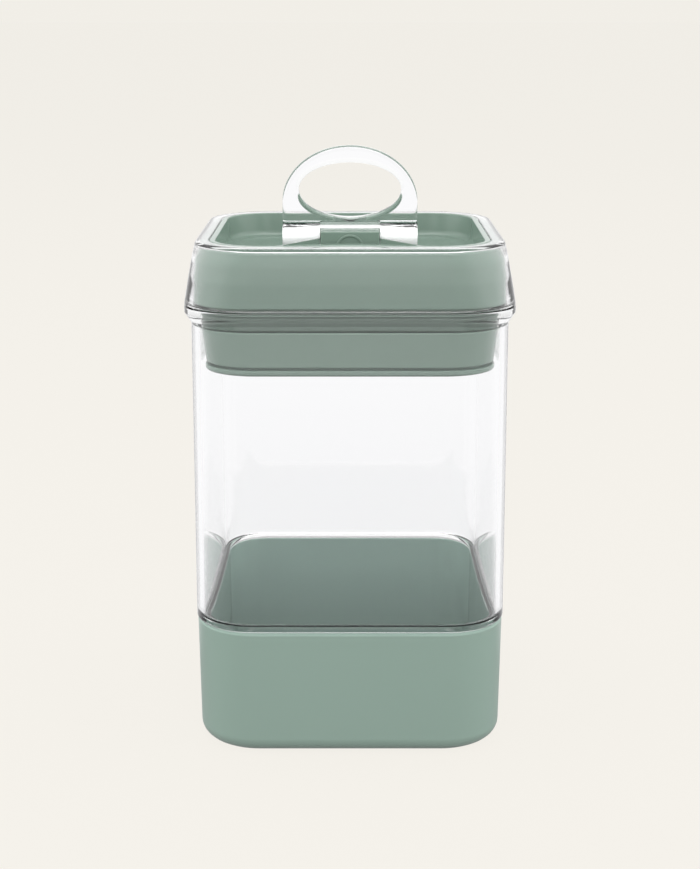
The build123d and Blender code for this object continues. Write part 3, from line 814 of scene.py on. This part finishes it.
def pale_sweep():
    """Matt floor paint: cream to the camera, white in gloss and clear plastic with painted shade close
    to the canister, and a soft shadow.
    """
    tree, material = new_material("pale_sweep")
    ray = add(tree, "ShaderNodeLightPath").outputs
    clear = add(tree, "ShaderNodeMath",
                [(ray["Is Glossy Ray"], 0), (ray["Is Transmission Ray"], 1)], operation="MAXIMUM")
    matt = add(tree, "ShaderNodeBsdfDiffuse", color=linear(FLOOR_MATT))
    shade = add(tree, "ShaderNodeBsdfDiffuse", color=linear(FLOOR_SHADE))
    seen = add(tree, "ShaderNodeEmission", color=linear(BACKDROP), strength=FLOOR_LEVEL)
    both = add(tree, "ShaderNodeAddShader", [(shade.outputs[0], 0), (seen.outputs[0], 1)])
    bounce = add(tree, "ShaderNodeMixShader",
                 [(ray["Is Camera Ray"], 0), (matt.outputs[0], 1), (both.outputs[0], 2)])
    place = add(tree, "ShaderNodeTexCoord").outputs["Object"]
    depth = add(tree, "ShaderNodeSeparateXYZ", [(place, 0)]).outputs["Y"]
    away = add(tree, "ShaderNodeVectorMath", [(place, 0)], operation="LENGTH").outputs["Value"]
    # Painted shade: the floor's white in gloss and clear plastic is dimmer close to the canister.
    near_shade = add(tree, "ShaderNodeMapRange", [(away, "Value")],
               from_min=NEAR_DISTANCE, from_max=FAR_DISTANCE, to_min=NEAR_SHADE_LEVEL, to_max=FAR_LEVEL)
    behind = add(tree, "ShaderNodeMapRange", [(depth, "Value")],
                 from_min=BEHIND_FROM, from_max=BEHIND_TO)
    level = add(tree, "ShaderNodeMath",
                [(near_shade.outputs["Result"], 0), (behind.outputs["Result"], 1)], operation="MAXIMUM")
    white = add(tree, "ShaderNodeEmission", [(level.outputs[0], "Strength")],
                color=linear(FLOOR_WHITE))
    last = add(tree, "ShaderNodeMixShader",
               [(clear.outputs[0], 0), (bounce.outputs[0], 1), (white.outputs[0], 2)])
    add(tree, "ShaderNodeOutputMaterial", [(last.outputs[0], "Surface")])
    return material


def studio_floor():
    """The floor that the canister stands on."""
    bpy.ops.object.select_all(action="DESELECT")
    bpy.ops.mesh.primitive_plane_add(size=FLOOR_SIZE, location=(0, 0, -FLOOR_DROP))
    floor = bpy.context.object
    floor.name = "studio_floor"
    floor.data.materials.append(pale_sweep())


def soft_light(name, place, aim, size, power, shine):
    """A large square softbox turned to its aim."""
    light = bpy.data.lights.new(name, "AREA")
    light.shape = "SQUARE"
    light.size = size
    light.energy = power
    lamp = bpy.data.objects.new(name, light)
    bpy.context.collection.objects.link(lamp)
    lamp.visible_glossy = shine
    lamp.visible_transmission = shine
    lamp.location = place
    way = [a - p for a, p in zip(aim, place)]
    flat = math.hypot(way[0], way[1])
    lamp.rotation_euler = (math.atan2(flat, -way[2]), 0, math.atan2(-way[0], way[1]))


def photo_camera():
    """The photograph's view."""
    data = bpy.data.cameras.new("photo_camera")
    data.sensor_fit = "VERTICAL"
    data.sensor_height = FRAME_HEIGHT
    data.lens = LENS
    data.shift_y = LENS_SHIFT
    data.clip_start = CAMERA_NEAREST
    data.clip_end = CAMERA_FARTHEST
    camera = bpy.data.objects.new("photo_camera", data)
    bpy.context.collection.objects.link(camera)
    camera.location = CAMERA_PLACE
    camera.rotation_euler = (math.radians(90 - CAMERA_TILT), 0, 0)
    bpy.context.scene.camera = camera


studio_world()
studio_floor()
for softbox in SOFTBOXES:
    soft_light(*softbox)
photo_camera()
bpy.context.scene.view_settings.view_transform = "Standard"
